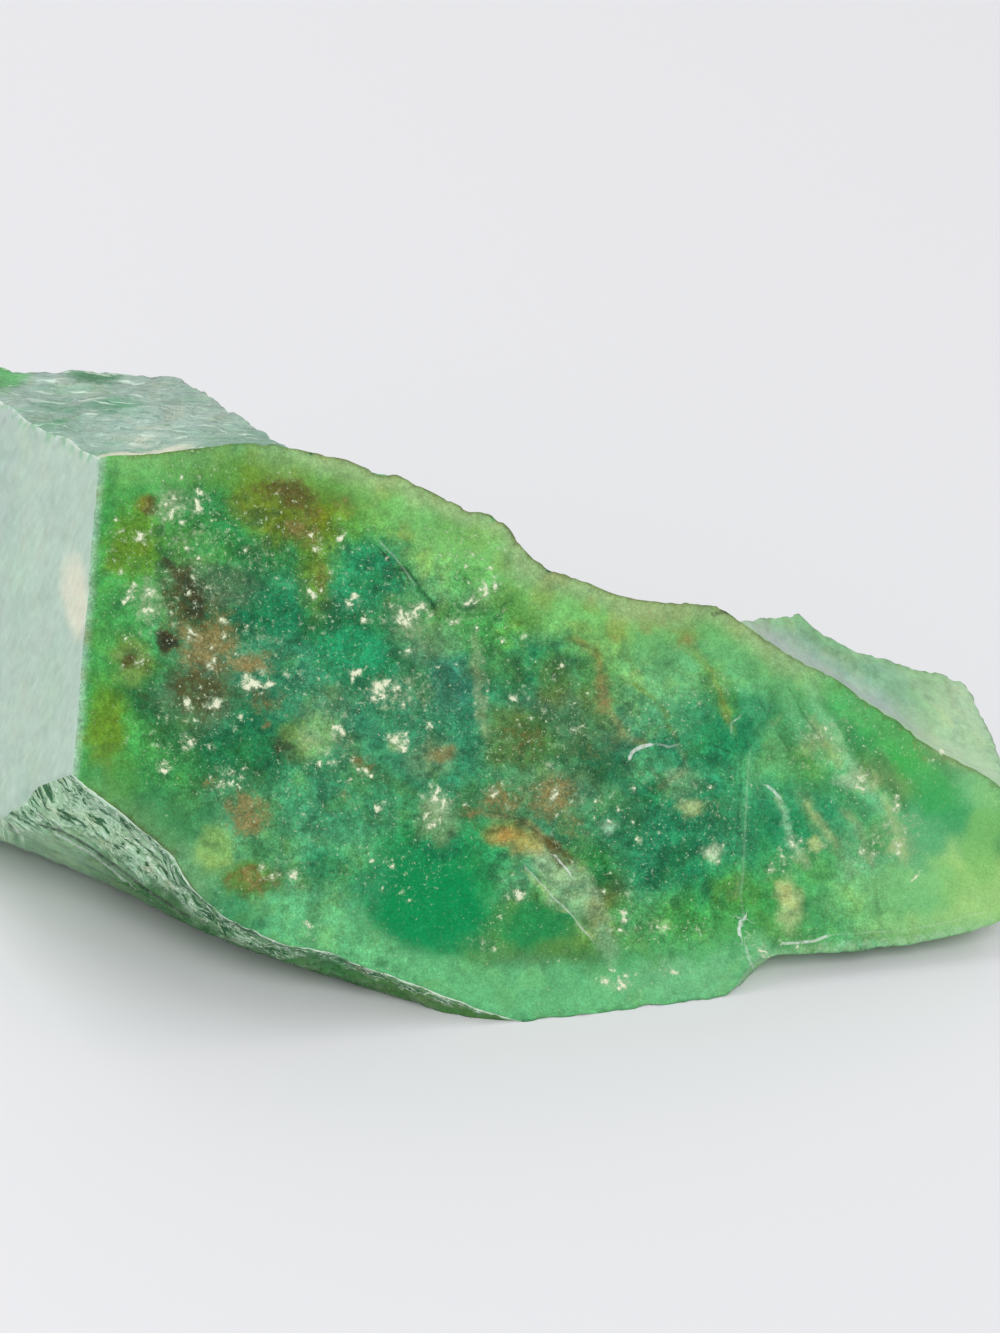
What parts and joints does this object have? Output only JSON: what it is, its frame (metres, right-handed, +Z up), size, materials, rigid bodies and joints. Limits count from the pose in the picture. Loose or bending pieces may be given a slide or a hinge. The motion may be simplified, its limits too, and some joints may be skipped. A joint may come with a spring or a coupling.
{
  "type": "raw chrysoprase stone",
  "caption": "Rough lump of green chalcedony with a leaning sawn front, a sawn left end, a rippled top and broken back, resting on its flat underside.",
  "frame": {"origin": "centre of the bounding box at the level of the flat underside", "axes": "+Z up, +X to the right along the stone's length as seen from the sawn front, the sawn front faces -Y"},
  "size_m": [0.0688, 0.0376, 0.0286],
  "materials": {
    "chrysoprase": "satin, faintly wet"
  },
  "bodies": {
    "root": {"chrysoprase_stone": "chrysoprase"}
  },
  "joints": []
}
